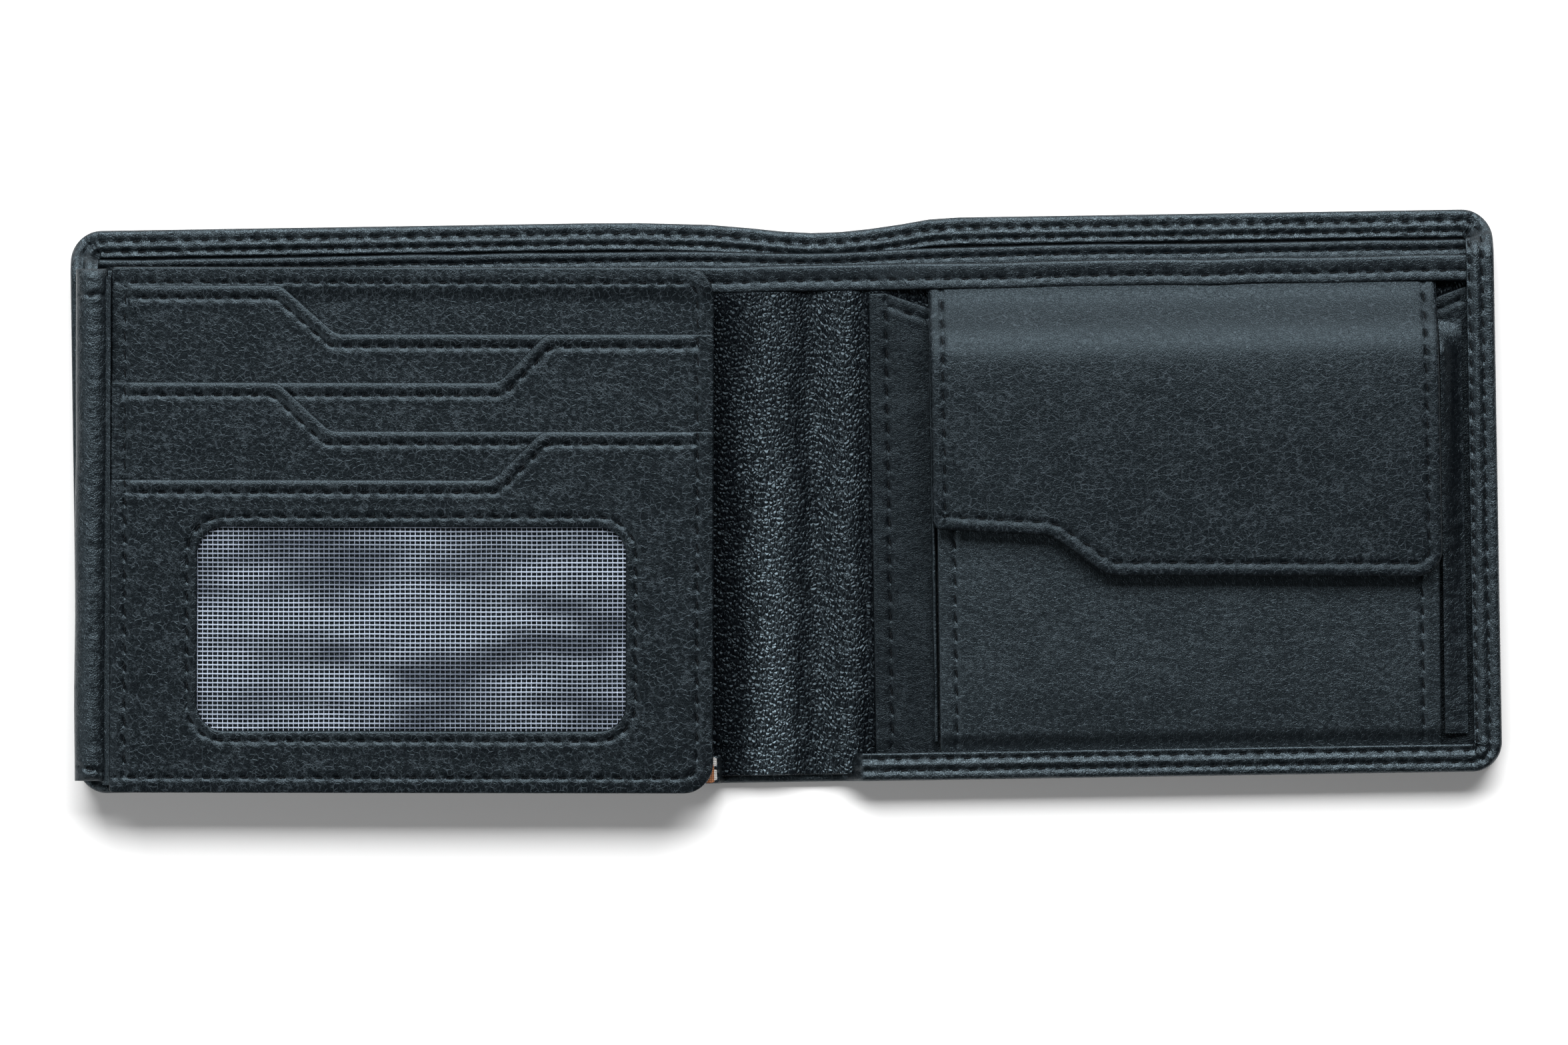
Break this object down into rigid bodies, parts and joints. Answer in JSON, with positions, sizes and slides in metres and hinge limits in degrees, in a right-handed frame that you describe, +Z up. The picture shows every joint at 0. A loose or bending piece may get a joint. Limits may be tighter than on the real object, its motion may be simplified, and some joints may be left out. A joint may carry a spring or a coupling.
{
  "type": "trifold wallet",
  "caption": "Open trifold leather wallet: two-fold spine, flip wing with stepped card pockets and a mesh ID window, slip pocket, and a gusseted coin pocket under a stepped flap.",
  "frame": {"origin": "middle of the open wallet's outline, on the outside face that it lies on", "axes": "+X along the open wallet from the flip wing to the coin pocket, +Y to the mouth of the bill compartment, +Z up out of the inside face"},
  "size_m": [0.24, 0.0966, 0.0109],
  "materials": {
    "shell_leather": "pebbled, satin",
    "pebbled_leather": "coarse pebble, glossy",
    "grained_leather": "fine pebble, satin",
    "pocket_leather": "fine grain, satin",
    "lining": "matt woven",
    "mesh": "open woven monofilament",
    "label": "woven tape",
    "snap_metal": "dark nickel"
  },
  "bodies": {
    "right_half": {"shell_right": "shell_leather", "shell_lining_right": "lining", "divider_right": "pocket_leather", "divider_binding_right": "pocket_leather", "front_panel_right": "pocket_leather", "front_binding_right": "pocket_leather", "slip_pocket": "pocket_leather", "coin_pocket_back": "pocket_leather", "coin_gusset_left": "pocket_leather", "coin_gusset_right": "pocket_leather", "coin_flap_root": "grained_leather"},
    "spine": {"shell_spine": "shell_leather", "shell_lining_spine": "lining", "divider_spine": "pocket_leather", "divider_binding_spine": "pocket_leather", "spine_leather": "pebbled_leather", "front_binding_spine": "pocket_leather"},
    "left_half": {"shell_left": "shell_leather", "shell_lining_left": "lining", "divider_left": "pocket_leather", "divider_binding_left": "pocket_leather", "front_panel_left": "pocket_leather", "front_binding_left": "pocket_leather", "inner_card_pocket_1": "pocket_leather", "inner_card_pocket_2": "pocket_leather", "inner_card_pocket_3": "pocket_leather", "wing_hinge_roll": "pocket_leather", "label_tab": "label"},
    "wing": {"wing_back_panel": "pocket_leather", "card_pocket_1": "pocket_leather", "card_pocket_2": "pocket_leather", "card_pocket_3": "pocket_leather", "window_mesh": "mesh", "window_panel": "pocket_leather"},
    "coin_flap": {"coin_flap": "grained_leather", "coin_flap_lining": "lining", "snap_cap": "snap_metal", "snap_socket": "snap_metal"},
    "coin_front": {"coin_pocket_front": "grained_leather", "coin_front_lining": "lining", "snap_stud": "snap_metal", "snap_post": "snap_metal"}
  },
  "joints": [
    {"name": "fold_right", "type": "hinge", "parent": "right_half", "child": "spine", "pos_m": [0.0093, 0, 0.0036], "axis": [0, 1, 0], "range_deg": [0, 90]},
    {"name": "fold_left", "type": "hinge", "parent": "spine", "child": "left_half", "pos_m": [-0.0069, 0, 0.0036], "axis": [0, 1, 0], "range_deg": [0, 90]},
    {"name": "wing_flip", "type": "hinge", "parent": "left_half", "child": "wing", "pos_m": [-0.11689, -0.00229, 0.008], "axis": [-0.0175, -0.9998, 0], "range_deg": [0, 180]},
    {"name": "coin_flap_lift", "type": "hinge", "parent": "right_half", "child": "coin_flap", "pos_m": [0.0674, 0.03377, 0.0056], "axis": [-1, 0, 0], "range_deg": [0, 140]},
    {"name": "coin_pocket_gape", "type": "hinge", "parent": "right_half", "child": "coin_front", "pos_m": [0.06765, -0.04083, 0.0049], "axis": [1, 0, 0], "range_deg": [0, 2]}
  ],
  "couplings": [
    {"joint": "fold_left", "follows": "fold_right", "ratio": 1},
    {"joint": "coin_pocket_gape", "follows": "coin_flap_lift", "ratio": 0.0142}
  ]
}
